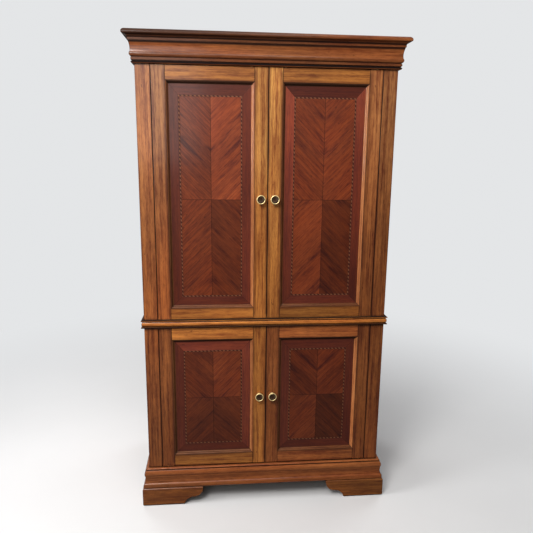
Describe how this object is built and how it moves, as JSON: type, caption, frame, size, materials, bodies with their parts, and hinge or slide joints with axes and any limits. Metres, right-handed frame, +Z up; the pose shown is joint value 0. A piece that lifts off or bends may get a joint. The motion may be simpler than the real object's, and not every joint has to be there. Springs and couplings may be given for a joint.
{
  "type": "television armoire",
  "caption": "Two-stage armoire on bracket feet, with flush framed doors round inlaid veneered panels, brass knobs, a waist moulding and a mitred crown.",
  "frame": {"origin": "on the floor, midway across the width and midway between the crown's nose and the back", "axes": "+X to the right as seen from the front, -Y towards the viewer in front of the doors, +Z up"},
  "size_m": [1.164, 0.61, 2.09],
  "materials": {
    "frame_wood": "semi-gloss lacquer, golden brown",
    "mouldings": "semi-gloss lacquer, glazed",
    "feet": "semi-gloss lacquer",
    "case_sides": "semi-gloss lacquer",
    "panel_veneer": "semi-gloss red brown veneer",
    "sticking": "semi-gloss lacquer",
    "interior_wood": "satin lacquer",
    "back_board": "unpolished plywood",
    "knob_brass": "antique brass",
    "hardware_brass": "satin brass",
    "steel": "plated steel"
  },
  "bodies": {
    "case": {"ball_catches": "hardware_brass", "base_moulding": "mouldings", "crown_moulding": "mouldings", "door_stops": "interior_wood", "dust_board": "back_board", "front_left_foot": "feet", "front_right_foot": "feet", "joining_screws": "steel", "lower_back": "back_board", "lower_bottom_rail": "frame_wood", "lower_floor": "interior_wood", "lower_left_case_stile": "frame_wood", "lower_left_side": "case_sides", "lower_right_case_stile": "frame_wood", "lower_right_side": "case_sides", "lower_shelf": "interior_wood", "lower_top": "interior_wood", "pivot_plates": "hardware_brass", "rear_left_foot": "feet", "rear_right_foot": "feet", "shelf_pins": "hardware_brass", "upper_back": "back_board", "upper_ceiling": "interior_wood", "upper_deck": "interior_wood", "upper_left_case_stile": "frame_wood", "upper_left_side": "case_sides", "upper_right_case_stile": "frame_wood", "upper_right_side": "case_sides", "upper_shelf": "interior_wood", "upper_top_rail": "frame_wood", "waist_moulding": "mouldings"},
    "lower_left_door": {"lower_left_door_hinge_stile": "frame_wood", "lower_left_door_knob": "knob_brass", "lower_left_door_leaves": "hardware_brass", "lower_left_door_meeting_stile": "frame_wood", "lower_left_door_panel": "panel_veneer", "lower_left_door_rails": "frame_wood", "lower_left_door_sticking": "sticking"},
    "lower_right_door": {"lower_right_door_hinge_stile": "frame_wood", "lower_right_door_knob": "knob_brass", "lower_right_door_leaves": "hardware_brass", "lower_right_door_meeting_stile": "frame_wood", "lower_right_door_panel": "panel_veneer", "lower_right_door_rails": "frame_wood", "lower_right_door_sticking": "sticking"},
    "upper_left_door": {"upper_left_door_hinge_stile": "frame_wood", "upper_left_door_knob": "knob_brass", "upper_left_door_leaves": "hardware_brass", "upper_left_door_meeting_stile": "frame_wood", "upper_left_door_panel": "panel_veneer", "upper_left_door_rails": "frame_wood", "upper_left_door_sticking": "sticking"},
    "upper_right_door": {"upper_right_door_hinge_stile": "frame_wood", "upper_right_door_knob": "knob_brass", "upper_right_door_leaves": "hardware_brass", "upper_right_door_meeting_stile": "frame_wood", "upper_right_door_panel": "panel_veneer", "upper_right_door_rails": "frame_wood", "upper_right_door_sticking": "sticking"}
  },
  "joints": [
    {"name": "lower_left_door_hinge", "type": "hinge", "parent": "case", "child": "lower_left_door", "pos_m": [-0.4535, -0.252, 0.5225], "axis": [0, 0, -1], "range_deg": [0, 130]},
    {"name": "lower_right_door_hinge", "type": "hinge", "parent": "case", "child": "lower_right_door", "pos_m": [0.4535, -0.252, 0.5225], "axis": [0, 0, 1], "range_deg": [0, 130]},
    {"name": "upper_left_door_hinge", "type": "hinge", "parent": "case", "child": "upper_left_door", "pos_m": [-0.4535, -0.252, 1.43225], "axis": [0, 0, -1], "range_deg": [0, 130]},
    {"name": "upper_right_door_hinge", "type": "hinge", "parent": "case", "child": "upper_right_door", "pos_m": [0.4535, -0.252, 1.43225], "axis": [0, 0, 1], "range_deg": [0, 130]}
  ]
}
